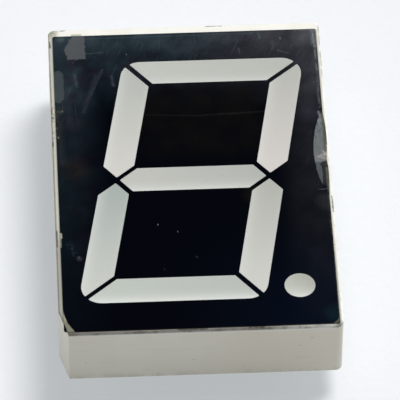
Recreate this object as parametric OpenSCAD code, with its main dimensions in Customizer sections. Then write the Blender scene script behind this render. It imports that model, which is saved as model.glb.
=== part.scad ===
// Single-digit seven segment LED display of the 2.3 inch class, lying face up on its pins.
// Millimetres. +Z is out of the face, +Y towards the top of the digit.
// The origin is below the middle of the housing, at the level of the pin tips.

/* [Housing] */
// Width of the housing
body_w = 47.8; // [44:0.1:58]
// Length of the housing, along the digit
body_l = 69.7; // [66:0.1:84]
// Depth of the housing, from its rear rim to its front face
body_h = 11.8; // [9:0.1:15]
// Thickness of the side walls
wall = 1.3; // [0.8:0.1:2]
// Thickness of the front plate
front_t = 1.2; // [0.8:0.1:2]
// Radius of the four upright corners
corner_r = 1.2; // [0.8:0.1:2.5]
// Chamfer round the front face
edge_c = 0.2; // [0.1:0.05:0.5]
// Leg, along the bottom edge, of the corner that is cut away beside pin 1
cut_x = 1.55; // [0.8:0.05:2]
// Leg of that corner along the left side
cut_y = 5.15; // [3:0.05:6]
// Wall left round each light cavity
funnel_wall = 0.8; // [0.6:0.1:1.2]
// How far the sides of a light cavity lean in from the front plate to the board
side_taper = 1.1; // [0.6:0.1:1.4]
// How far its ends lean in
end_taper = 0.5; // [0.3:0.1:0.7]
// Thickness of the ribs that carry the rim of the board
rib_t = 1.0; // [0.6:0.1:1.5]
// How far those ribs stand in from the side walls
rib_in = 1.6; // [1:0.1:2]
// Thickness of the webs that brace the bosses inside the digit
web_t = 0.8; // [0.6:0.1:1.2]
// Height of those webs below the front plate
web_h = 4; // [2:0.5:6]
// Distance of the corner stakes' bosses from the side walls
stake_in = 1; // [0.8:0.1:1.2]

/* [Digit] */
// Height of the digit over its top and bottom segments
digit_h = 54.9; // [46:0.1:58]
// Width of the digit over its upright segments, at any one height
digit_w = 31.85; // [29:0.05:33]
// Width of a segment
seg_w = 5.3; // [4:0.1:6]
// Slant of the digit from upright, in degrees
slant = 10; // [0:0.1:12]
// Gap between neighbouring segments
seg_gap = 0.8; // [0.5:0.05:1.2]
// Radius of the four outer corners of the digit
digit_r = 3.6; // [2.5:0.1:4.5]
// Length taken off each pointed tip by its rounding
tip_round = 0.2; // [0.1:0.01:0.5]
// Length taken off each blunt inner corner by its rounding
bend_round = 0.1; // [0.05:0.01:0.4]
// Diameter of the decimal point
point_d = 5.3; // [4:0.1:6]
// Decimal point, sideways from the middle of the digit
point_x = 16.9; // [16.5:0.1:17.5]
// Decimal point, below the middle of the digit
point_y = 24.85; // [24:0.05:26]

/* [Face mask] */
// Width of the black mask
mask_w = 46.4; // [45:0.1:46.6]
// Length of the black mask
mask_l = 67.5; // [66:0.1:68]
// Thickness of the black mask
mask_t = 0.2; // [0.1:0.05:0.3]
// How far mask and digit sit to the right of the housing's middle
face_x = 0.1; // [-0.2:0.05:0.2]
// How far the mask sits below the housing's middle
face_down = 0.7; // [0:0.05:0.8]
// Radius of the mask's corners
mask_r = 0.3; // [0.1:0.1:1]
// How far the digit sits below the middle of the mask
digit_down = 0.35; // [0:0.05:0.5]
// Length of the mask's right edge that has come unstuck
lift_l = 17.5; // [10:0.5:20]
// Middle of the unstuck length, above the middle of the mask
lift_y = 5; // [0:0.5:10]
// Width of the unstuck strip
lift_in = 2; // [1:0.1:2.2]
// How far the unstuck strip stands up
lift_h = 0.6; // [0.3:0.1:0.8]

/* [Board, pins and lamps] */
// Thickness of the circuit board
board_t = 1.6; // [1:0.1:2]
// Depth of the board below the rear rim of the housing
board_in = 1.2; // [1:0.1:2]
// Gap between the board and the side walls
board_gap = 0.15; // [0.1:0.05:0.3]
// Diameter of a pin
pin_d = 0.6; // [0.5:0.05:0.8]
// Length of a pin below the rear rim
pin_out = 5; // [3:0.1:8]
// Length of a pin above the board
pin_up = 0.8; // [0.4:0.1:1.5]
// Diameter of a pin's upper end, to which it tapers on its way through the board
pin_end_d = 0.4; // [0.3:0.05:0.5]
// Pitch of the pins in a row
pin_pitch = 2.54; // [2:0.01:2.54]
// Distance between the two rows of pins
row_gap = 60.96; // [58:0.01:61]
// Clearance round a pin in its hole through the board
pin_clear = 0.15; // [0.1:0.05:0.25]
// Width of the ring of solder round a pin's hole
pad_ring = 0.5; // [0.3:0.05:0.6]
// Height of a solder fillet
solder_h = 0.85; // [0.5:0.05:0.95]
// Diameter of a stake that holds the board
stake_d = 1.8; // [1.5:0.1:2.2]
// Clearance round a stake in its hole through the board
stake_clear = 0.1; // [0.05:0.05:0.2]
// Diameter of the boss round a stake
boss_d = 3.4; // [3:0.1:3.8]
// Diameter of the melted head of a stake
stake_head_d = 3.2; // [2.8:0.1:3.6]
// Height of the melted head of a stake
stake_head_h = 0.8; // [0.4:0.1:0.9]
// Height of the upright edge of that head, below its dome
stake_edge_h = 0.25; // [0.1:0.05:0.3]
// Length of an LED chip
led_l = 1.6; // [1.2:0.1:2]
// Width of an LED chip
led_w = 0.8; // [0.6:0.05:1]
// Height of an LED chip
led_h = 0.6; // [0.4:0.05:0.8]
// Height of the base of an LED chip
led_base_h = 0.25; // [0.2:0.05:0.35]
// Length of the lens block between the end caps of an LED chip
led_lens_l = 1; // [0.7:0.05:1.1]
// Distance between the two LED chips under the decimal point
point_led_pitch = 1.6; // [1.2:0.1:1.8]
// Clearance round each light guide, and round each chip inside it
fit = 0.05; // [0.03:0.01:0.1]

/* [Hidden] */

ivory = [0.93, 0.91, 0.83];
black = [0.03, 0.03, 0.04];
milky = [0.78, 0.79, 0.77];
green = [0.10, 0.36, 0.20];
tin = [0.75, 0.75, 0.77];
chip_white = [0.95, 0.93, 0.85];

round_fn = 48; // sides of a large round shape
small_fn = 24; // sides of a small one
arc_steps = 4; // steps along each of the digit's outer corners
soft_steps = 3; // steps along each rounded tip or bend
soft_limit = 0.45; // share of a side that one rounding may take at most
bow_steps = 16; // steps along the unstuck edge of the mask
dome_steps = 4; // steps up the dome of a stake's head
fillet_steps = 4; // steps up a solder fillet
fillet_turn = 80; // degrees that the fillet's curve turns through
eps = 0.01; // overlap of shapes that are joined or cut
over = 1; // how far a cutting shape runs past what it cuts

// Heights
z_rim = pin_out;
z_board_back = z_rim + board_in;
z_board = z_board_back + board_t;
z_face = z_rim + body_h;
z_plate = z_face - front_t;
z_mask = z_face + mask_t;

// The digit, worked out upright and then leaned over
digit_at = [face_x, -face_down - digit_down];
half_v = seg_w / 2 / cos(slant); // half an upright segment, measured level
node_x = digit_w / 2 - half_v; // middle line of the upright segments
node_y = digit_h / 2 - seg_w / 2; // middle line of the top segment
seg_letters = ["a", "b", "c", "d", "e", "f", "g"];
leds_per_segment = 4;

// Pins and stakes
pins_per_row = 5;
pin_r = pin_d / 2;
pin_tip = pin_d / 4; // width of the chamfer at a pin's tip
pin_tip_l = pin_d / 2; // length of that chamfer
pin_hole_r = pin_r + pin_clear;
solder_edge = 0.05; // thickness of a solder fillet at its rim
stake_side_x = body_w / 2 - wall - stake_in - boss_d / 2;
stake_side_y = body_l / 2 - wall - stake_in - boss_d / 2;
loop_y = node_y / 2; // middle of each loop of the digit
rib_x = body_w / 4; // ribs on the end walls, from the middle
rib_y = body_l / 4; // ribs on the side walls, from the middle one

// ---- points and outlines ----

function lean(p) = [p.x + p.y * tan(slant), p.y];
function unit(v) = v / norm(v);
function heading(c, p) = atan2(p.y - c.y, p.x - c.x);
function turned(path) = [for (v = path) [-v[0], v[1]]];

// Where the line from p along the unit vector d leaves the circle of radius r round c
function exit_point(p, d, c, r) =
    let (m = p - c, b = m * d)
    p + d * (-b + sqrt(b * b - m * m + r * r));

// Points of an arc round c, each with no rounding of its own
function arc(c, r, from, to) =
    [for (i = [0:arc_steps]) let (t = from + (to - from) * i / arc_steps)
        [c + r * [cos(t), sin(t)], 0]];

function tail(path) = [for (i = [1:len(path) - 1]) path[i]];
function head(path) = [for (i = [0:len(path) - 2]) path[i]];

// A path is a list of [point, rounding]. Each rounded corner becomes a short curve.
function softened(path) =
    let (n = len(path))
    [for (i = [0:n - 1])
        let (p = path[i][0], before = path[(i + n - 1) % n][0] - p, after = path[(i + 1) % n][0] - p,
             s = min(path[i][1], soft_limit * norm(before), soft_limit * norm(after)),
             a = p + s * unit(before), b = p + s * unit(after))
        each s == 0 ? [p] : [for (j = [0:soft_steps]) let (t = j / soft_steps)
            (1 - t) * (1 - t) * a + 2 * t * (1 - t) * p + t * t * b]];

// Centre of the digit's outer corner, on the left (side -1) or the right (side 1), for an inset of d
function corner_centre(side, d) =
    let (r = digit_r - d, y = node_y + seg_w / 2 - d - r)
    [side * (node_x + half_v - (d + r) / cos(slant)) + y * tan(slant), y];

// One end of the mitre between the top segment and an upright one, shifted by g to its own side
function mitre_end(side, g, d) =
    exit_point(lean([side * node_x, node_y + g]), unit(lean([side, 1])),
               corner_centre(side, d), digit_r - d);

// Each outline below is inset by d along its sides and by e at its ends. g is half the gap between
// neighbours, measured along an axis.
function level_half(d) = seg_w / 2 - d;
function upright_half(d) = level_half(d) / cos(slant);
function axis_gap(e) = (seg_gap / 2 + e) * sqrt(2);

function top_path(d, e) =
    let (h = level_half(d), g = axis_gap(e), r = digit_r - d,
         cl = corner_centre(-1, d), cr = corner_centre(1, d),
         pl = mitre_end(-1, g, d), pr = mitre_end(1, g, d))
    concat([[lean([-node_x + g + h, node_y - h]), bend_round],
            [lean([node_x - g - h, node_y - h]), bend_round],
            [pr, tip_round]],
           tail(arc(cr, r, heading(cr, pr), 90)),
           head(arc(cl, r, 90, heading(cl, pl))),
           [[pl, tip_round]]);

function upper_left_path(d, e) =
    let (h = upright_half(d), g = axis_gap(e), c = corner_centre(-1, d), p = mitre_end(-1, -g, d))
    concat([[lean([-node_x, g]), tip_round],
            [lean([-node_x + h, g + h]), bend_round],
            [lean([-node_x + h, node_y - g - h]), bend_round],
            [p, tip_round]],
           tail(arc(c, digit_r - d, heading(c, p), 180 - slant)),
           [[lean([-node_x - h, g + h]), bend_round]]);

function upper_right_path(d, e) =
    let (h = upright_half(d), g = axis_gap(e), c = corner_centre(1, d), p = mitre_end(1, -g, d))
    concat([[lean([node_x, g]), tip_round],
            [lean([node_x + h, g + h]), bend_round]],
           head(arc(c, digit_r - d, -slant, heading(c, p))),
           [[p, tip_round],
            [lean([node_x - h, node_y - g - h]), bend_round],
            [lean([node_x - h, g + h]), bend_round]]);

function middle_path(d, e) =
    let (h = level_half(d), g = axis_gap(e), x = node_x - g)
    [[lean([-x, 0]), tip_round], [lean([-x + h, -h]), bend_round], [lean([x - h, -h]), bend_round],
     [lean([x, 0]), tip_round], [lean([x - h, h]), bend_round], [lean([-x + h, h]), bend_round]];

// The lower half of the digit is the upper half turned half a turn.
function seg_path(s, d, e) =
    s == "a" ? top_path(d, e) :
    s == "b" ? upper_right_path(d, e) :
    s == "c" ? turned(upper_left_path(d, e)) :
    s == "d" ? turned(top_path(d, e)) :
    s == "e" ? turned(upper_right_path(d, e)) :
    s == "f" ? upper_left_path(d, e) : middle_path(d, e);

function outline(s, d, e) = softened(seg_path(s, d, e));

// Middle of a segment, and the direction that it runs in
function seg_middle(s) = lean(
    s == "a" ? [0, node_y] : s == "d" ? [0, -node_y] : s == "g" ? [0, 0] :
    [(s == "b" || s == "c" ? 1 : -1) * node_x, (s == "b" || s == "f" ? 1 : -1) * node_y / 2]);
function is_level(s) = s == "a" || s == "d" || s == "g";
function seg_angle(s) = is_level(s) ? 0 : 90 - slant;
function led_pitch(s) = (is_level(s) ? 2 * node_x : node_y / cos(slant)) / (leds_per_segment + 1);
function led_place(s, i) =
    seg_middle(s) + (i - (leds_per_segment - 1) / 2) * led_pitch(s)
        * [cos(seg_angle(s)), sin(seg_angle(s))];

// ---- shapes used more than once ----

// A solid through outlines at rising heights: sections is a list of [height, outline].
module loft(sections) {
    n = len(sections[0][1]);
    k = len(sections);
    points = [for (s = sections) each [for (p = s[1]) [p.x, p.y, s[0]]]];
    sides = [for (j = [0:k - 2]) each [for (i = [0:n - 1])
        let (a = j * n + i, b = j * n + (i + 1) % n) each [[a, a + n, b], [b, a + n, b + n]]]];
    polyhedron(points, concat([[for (i = [0:n - 1]) i]], sides,
                              [[for (i = [n - 1:-1:0]) (k - 1) * n + i]]));
}

module rounded_rect(w, l, r) {
    for (x = [-1, 1], y = [-1, 1])
        translate([x * (w / 2 - r), y * (l / 2 - r)]) circle(r, $fn = round_fn);
    square([w - 2 * r, l], center = true);
    square([w, l - 2 * r], center = true);
}

// Side view of a block with its two upper corners chamfered
function chamfered(w, h) = [[-w / 2, 0], [w / 2, 0], [w / 2, h - edge_c], [w / 2 - edge_c, h],
                            [-w / 2 + edge_c, h], [-w / 2, h - edge_c]];

// Block with round upright corners and a chamfer round its top
module body_block() {
    span_w = body_w - 2 * corner_r;
    span_l = body_l - 2 * corner_r;
    rotate([90, 0, 0])
        linear_extrude(span_l, center = true) polygon(chamfered(body_w, body_h));
    rotate([90, 0, 90])
        linear_extrude(span_w, center = true) polygon(chamfered(body_l, body_h));
    for (x = [-1, 1], y = [-1, 1]) translate([x * span_w / 2, y * span_l / 2, 0])
        rotate_extrude($fn = round_fn)
            polygon([[0, 0], [corner_r, 0], [corner_r, body_h - edge_c],
                     [corner_r - edge_c, body_h], [0, body_h]]);
}

// Wedge that cuts away the corner beside pin 1, its slanted face moved inwards by inset.
// Turned by lean_in from upright about that face's line at z, it makes a chamfer.
module corner_cut(inset, z, height, lean_in = 0) {
    translate([-body_w / 2, cut_y - body_l / 2, z]) rotate(-atan2(cut_y, cut_x)) rotate([-lean_in, 0, 0])
        translate([-cut_y, -cut_y, 0]) cube([3 * cut_y, cut_y + inset, height]);
}

// The way that light takes through the housing, larger all round by grow
module light_way(s, grow, z_low, z_high) {
    opening = outline(s, -grow, -grow);
    loft([[z_low, outline(s, side_taper - grow, end_taper - grow)], [z_plate, opening],
          [z_high, opening]]);
}

module point_way(grow, z_low, z_high) {
    translate([point_x, -point_y, 0]) {
        translate([0, 0, z_low])
            cylinder(z_plate - z_low, point_d / 2 - side_taper + grow, point_d / 2 + grow,
                     $fn = round_fn);
        translate([0, 0, z_plate - eps])
            cylinder(z_high - z_plate + eps, r = point_d / 2 + grow, $fn = round_fn);
    }
}

// Room for a chip in the foot of a light guide
module led_pocket() {
    depth = led_h + fit + eps;
    translate([0, 0, z_board - eps + depth / 2])
        cube([led_l + 2 * fit, led_w + 2 * fit, depth], center = true);
}

function point_led_at(i) = [point_x, -point_y + (i - 0.5) * point_led_pitch];

// Places of the stakes: one in each loop of the digit, and four near the corners
function stake_places() = concat(
    [for (y = [-loop_y, loop_y]) digit_at + lean([0, y])],
    [for (x = [-1, 1], y = [-1, 1]) [x * stake_side_x, y * stake_side_y]]);

module at_pins() {
    for (y = [-1, 1], i = [0:pins_per_row - 1])
        translate([(i - (pins_per_row - 1) / 2) * pin_pitch, y * row_gap / 2, 0]) children();
}

// ---- the pieces ----

module reflector_housing() color(ivory) {
    difference() {
        union() {
            difference() {
                translate([0, 0, z_rim]) body_block();
                corner_cut(0, z_rim - over, body_h + 2 * over);
                corner_cut(0, z_face - edge_c, over, 45);
                room(wall, z_rim - eps, z_plate);
            }
            translate(digit_at) {
                for (s = seg_letters) light_way(s, funnel_wall, z_board, z_plate + front_t / 2);
                point_way(funnel_wall, z_board, z_plate + front_t / 2);
                for (y = [-loop_y, loop_y]) translate(lean([0, y])) loop_webs();
            }
        }
        translate(digit_at) {
            for (s = seg_letters) light_way(s, 0, z_board - eps, z_face + eps);
            point_way(0, z_board - eps, z_face + eps);
        }
    }
    board_ribs();
    for (p = stake_places()) translate(p) stake();
}

// Space inside the side walls, or a board in it, at an inset from the outer faces
module room(inset, z_low, z_high) {
    difference() {
        translate([inset - body_w / 2, inset - body_l / 2, z_low])
            cube([body_w - 2 * inset, body_l - 2 * inset, z_high - z_low]);
        corner_cut(inset, z_low - over, z_high - z_low + 2 * over);
    }
}

// Ribs down the side walls, which the board's rim sits on
module board_ribs() {
    height = z_plate - z_board + eps;
    for (side = [-1, 1], y = [-1, 0, 1])
        translate([side * (body_w / 2 - wall - rib_in / 2 + eps), y * rib_y, z_board + height / 2])
            cube([rib_in + 2 * eps, rib_t, height], center = true);
    for (side = [-1, 1], x = [-1, 1])
        translate([x * rib_x, side * (body_l / 2 - wall - rib_in / 2 + eps), z_board + height / 2])
            cube([rib_t, rib_in + 2 * eps, height], center = true);
}

// Crossed webs under the front plate, from the boss in a loop of the digit to the cavities round it
module loop_webs() {
    translate([0, 0, z_plate - web_h / 2 + eps]) {
        cube([2 * node_x, web_t, web_h], center = true);
        rotate(-slant) cube([web_t, 2 * loop_y / cos(slant), web_h], center = true);
    }
}

// Boss on the front plate, with a stake through the board and its head melted over the back
module stake() {
    translate([0, 0, z_board]) cylinder(z_plate - z_board + eps, d = boss_d, $fn = round_fn);
    translate([0, 0, z_board_back - eps]) cylinder(board_t + 2 * eps, d = stake_d, $fn = small_fn);
    translate([0, 0, z_board_back]) mirror([0, 0, 1]) rotate_extrude($fn = small_fn)
        polygon(concat([[0, 0], [stake_head_d / 2, 0]],
            [for (i = [0:dome_steps - 1]) let (t = 90 * i / dome_steps)
                [stake_head_d / 2 * cos(t), stake_edge_h + (stake_head_h - stake_edge_h) * sin(t)]],
            [[0, stake_head_h]]));
}

// The mask follows its barrel along the unstuck stretch, with an open gap under it.
module face_mask() color(black) {
    difference() {
        union() {
            translate([face_x, -face_down, z_face])
                linear_extrude(mask_t) rounded_rect(mask_w, mask_l, mask_r);
            lift_barrel(0, z_mask - mask_t / 2, 0);
        }
        lift_barrel(mask_t, z_face - eps, over);
        translate([each digit_at, z_face - eps]) linear_extrude(mask_t + 2 * eps) {
            for (s = seg_letters) polygon(outline(s, 0, 0));
            translate([point_x, -point_y]) circle(d = point_d, $fn = round_fn);
        }
    }
}

// The part above z_low of a barrel that lies along the mask's right edge and breaks through the face.
// Its surface is sunk by inset, and it reaches past the edge by out.
module lift_barrel(inset, z_low, out) {
    barrel_r = (lift_in * lift_in + lift_h * lift_h) / (2 * lift_h);
    bow_r = (lift_l * lift_l / 4 + lift_h * lift_h) / (2 * lift_h);
    half_turn = asin(lift_l / 2 / bow_r);
    edge = face_x + mask_w / 2;
    translate([0, lift_y - face_down, 0]) intersection() {
        translate([edge, 0, z_mask + lift_h - barrel_r]) rotate([90, 0, 0])
            rotate_extrude($fn = round_fn * 2)
                polygon(concat([[0, -lift_l / 2]],
                    [for (i = [0:bow_steps]) let (t = half_turn * (2 * i / bow_steps - 1))
                        [barrel_r - inset - bow_r * (1 - cos(t)), bow_r * sin(t)]],
                    [[0, lift_l / 2]]));
        translate([edge - lift_in - over, -lift_l / 2, z_low])
            cube([lift_in + over + out, lift_l, lift_h + mask_t]);
    }
}

module circuit_board() color(green) {
    difference() {
        room(wall + board_gap, z_board_back, z_board);
        translate([0, 0, z_board_back - over]) {
            at_pins() cylinder(board_t + 2 * over, r = pin_hole_r, $fn = small_fn);
            for (p = stake_places()) translate(p)
                cylinder(board_t + 2 * over, r = stake_d / 2 + stake_clear, $fn = small_fn);
        }
    }
}

// A fillet of solder round each pin, on the back of the board
module solder_joints() color(tin) {
    low_r = pin_r + fit / 2;
    reach = pin_hole_r + pad_ring - low_r;
    rise = solder_h - solder_edge;
    at_pins() translate([0, 0, z_board_back]) mirror([0, 0, 1]) rotate_extrude($fn = small_fn)
        polygon(concat([[low_r, 0], [low_r + reach, 0]],
            [for (i = [0:fillet_steps]) let (t = fillet_turn * i / fillet_steps)
                [low_r + reach * (1 - sin(t)),
                 solder_edge + rise * (1 - cos(t)) / (1 - cos(fillet_turn))]],
            [[low_r, solder_h]]));
}

// A light guide cast in its cavity, standing on the board round its lamps
module segment(s) color(milky) translate(digit_at) difference() {
    light_way(s, -fit, z_board, z_mask);
    for (i = [0:leds_per_segment - 1]) translate(led_place(s, i)) rotate(seg_angle(s)) led_pocket();
}

module decimal_point() color(milky) translate(digit_at) difference() {
    point_way(-fit, z_board, z_mask);
    for (i = [0, 1]) translate(point_led_at(i)) led_pocket();
}

// A pin: a straight leg, tapering from inside its solder up to its end above the board.
// Pins 1 to 5 run left to right along the bottom edge, 6 to 10 right to left along the top.
module pin(number) color(tin) {
    lower = number <= pins_per_row;
    step = lower ? number - 1 : 2 * pins_per_row - number;
    length = z_board + pin_up;
    translate([(step - (pins_per_row - 1) / 2) * pin_pitch, (lower ? -1 : 1) * row_gap / 2, 0])
        rotate_extrude($fn = small_fn)
            polygon([[0, 0], [pin_r - pin_tip, 0], [pin_r, pin_tip_l],
                     [pin_r, z_board_back - solder_h / 2], [pin_end_d / 2, length], [0, length]]);
}

// A chip: its base with an end cap on each side, and the lens block between them
module led_chip() {
    translate([0, 0, led_base_h / 2]) cube([led_l, led_w, led_base_h], center = true);
    translate([0, 0, led_h / 2]) cube([led_lens_l, led_w, led_h], center = true);
}

module led(s, number) color(chip_white) translate(digit_at)
    translate([each led_place(s, number - 1), z_board]) rotate(seg_angle(s)) led_chip();

module led_point(number) color(chip_white) translate(digit_at)
    translate([each point_led_at(number - 1), z_board]) led_chip();

reflector_housing();
face_mask();
circuit_board();
solder_joints();
segment("a");  // segment_a
segment("b");  // segment_b
segment("c");  // segment_c
segment("d");  // segment_d
segment("e");  // segment_e
segment("f");  // segment_f
segment("g");  // segment_g
decimal_point();
pin(1);  // pin_1
pin(2);  // pin_2
pin(3);  // pin_3
pin(4);  // pin_4
pin(5);  // pin_5
pin(6);  // pin_6
pin(7);  // pin_7
pin(8);  // pin_8
pin(9);  // pin_9
pin(10);  // pin_10
led("a", 1);  // led_a_1
led("a", 2);  // led_a_2
led("a", 3);  // led_a_3
led("a", 4);  // led_a_4
led("b", 1);  // led_b_1
led("b", 2);  // led_b_2
led("b", 3);  // led_b_3
led("b", 4);  // led_b_4
led("c", 1);  // led_c_1
led("c", 2);  // led_c_2
led("c", 3);  // led_c_3
led("c", 4);  // led_c_4
led("d", 1);  // led_d_1
led("d", 2);  // led_d_2
led("d", 3);  // led_d_3
led("d", 4);  // led_d_4
led("e", 1);  // led_e_1
led("e", 2);  // led_e_2
led("e", 3);  // led_e_3
led("e", 4);  // led_e_4
led("f", 1);  // led_f_1
led("f", 2);  // led_f_2
led("f", 3);  // led_f_3
led("f", 4);  // led_f_4
led("g", 1);  // led_g_1
led("g", 2);  // led_g_2
led("g", 3);  // led_g_3
led("g", 4);  // led_g_4
led_point(1);  // led_point_1
led_point(2);  // led_point_2
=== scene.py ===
"""Looks of a single-digit seven segment display: ivory housing, worn black face film, milky light bars.

Everything is in metres in the row's frame: +Z out of the face, +Y towards the top of the digit.
Wear, and the painted light and shade, are placed in millimetres from the middle of the film, x to the
right and y to the top.
"""
import math

import bmesh
import bpy
import numpy as np
from mathutils import Matrix, Vector, noise
from mathutils.geometry import delaunay_2d_cdt


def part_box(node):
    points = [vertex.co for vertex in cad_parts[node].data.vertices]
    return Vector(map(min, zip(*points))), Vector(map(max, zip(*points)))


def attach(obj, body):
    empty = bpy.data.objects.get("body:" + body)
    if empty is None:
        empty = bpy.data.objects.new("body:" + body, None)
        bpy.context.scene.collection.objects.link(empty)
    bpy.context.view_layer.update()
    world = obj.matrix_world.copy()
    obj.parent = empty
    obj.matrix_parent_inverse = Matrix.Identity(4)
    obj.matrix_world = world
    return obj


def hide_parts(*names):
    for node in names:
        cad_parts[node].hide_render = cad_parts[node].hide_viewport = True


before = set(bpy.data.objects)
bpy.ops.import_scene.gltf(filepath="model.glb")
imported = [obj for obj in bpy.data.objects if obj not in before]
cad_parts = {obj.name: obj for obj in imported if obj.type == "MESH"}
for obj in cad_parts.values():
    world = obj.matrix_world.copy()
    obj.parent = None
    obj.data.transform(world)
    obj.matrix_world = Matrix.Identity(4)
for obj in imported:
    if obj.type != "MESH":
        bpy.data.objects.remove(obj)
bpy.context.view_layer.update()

MM = 0.001
TO_MM = 1000.0

film_low, film_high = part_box("face_mask")
house_low, house_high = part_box("reflector_housing")
board_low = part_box("circuit_board")[0]
film_mid = (film_low + film_high) / 2
film_half = (film_high - film_low) / 2
z_face = film_low.z                      # front face of the housing, under the film
z_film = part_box("segment_g")[1].z        # top of the film where it lies flat
film_t = z_film - z_face
HALF_W = film_half.x * TO_MM
HALF_L = film_half.y * TO_MM
point_low, point_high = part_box("decimal_point")
BAR_W = (point_high.x - point_low.x) * TO_MM    # the light bars are as wide as the point
SLANT = math.tan(math.radians(10.0))            # lean of the digit's upright bars

# The film's unstuck right edge, in mm: the circle whose arc is its crease, how far it stands up and
# moves out, how far past the crease it has risen in full, its two humps as (height, lower end, upper
# end), and the pinch between them in the same way, with how far past the crease that is full
LENS_X, LENS_Y, LENS_R = 47.5, 4.5, 26.4
LIFT_UP, LIFT_OUT = (film_high.z - z_film) * TO_MM, 0.3
RISE_IN = 1.7
HUMPS = ((0.92, 1.8, 13.9), (0.6, -5.4, 4.2))
PINCH, PINCH_IN = (0.3, 1.2, 5.6), 0.7

# The film's lower left tip, in mm: it curls down past a line through TIP_AT, towards TIP_WAY, over
# TIP_LENGTH. The bare corner ends at a line parallel to that one.
TIP_AT = (-23.0, -31.4)
TIP_WAY = (-0.9576, -0.288)
TIP_LENGTH, TIP_DROP, TIP_PUSH = 0.9, 0.25, 0.3

# The film's ripple: its height in mm, and how fast it changes along x and y
RIPPLE, RIPPLE_RATE = 0.012, (0.11, 0.09)

# The film's mesh, in mm: its corners' radius, the longest stretch between two points of an outline,
# the spacing of the points between the outlines, the finer one at the unstuck edge, how far in from
# the edge and between which heights that is used, and how far the points stay clear of an outline
CORNER_R = 0.3
OUTLINE_STEP = 0.5
GRID, FINE_GRID = 0.6, 0.22
FINE_IN, FINE_LOW, FINE_HIGH = 3.2, -6.0, 14.0
CLEAR = 0.12
FILM_GAP = 0.00001                       # metres between the film and the housing's front
CREASE_ANGLE = 0.7                       # radians; below this the film is shaded smooth

# The copper tracks on the board's back, in mm: their spacing between the rows of pins, how far from a
# row the middle one bends, how much nearer the middle each next one ends, and where their edges fade
TRACK_STEP, TRACK_BEND = 4.4, 5.0
LOW_END, HIGH_END = 3.0, 4.0
TRACK_EDGE = (0.45, 0.37)


# ---- node trees ----

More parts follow.
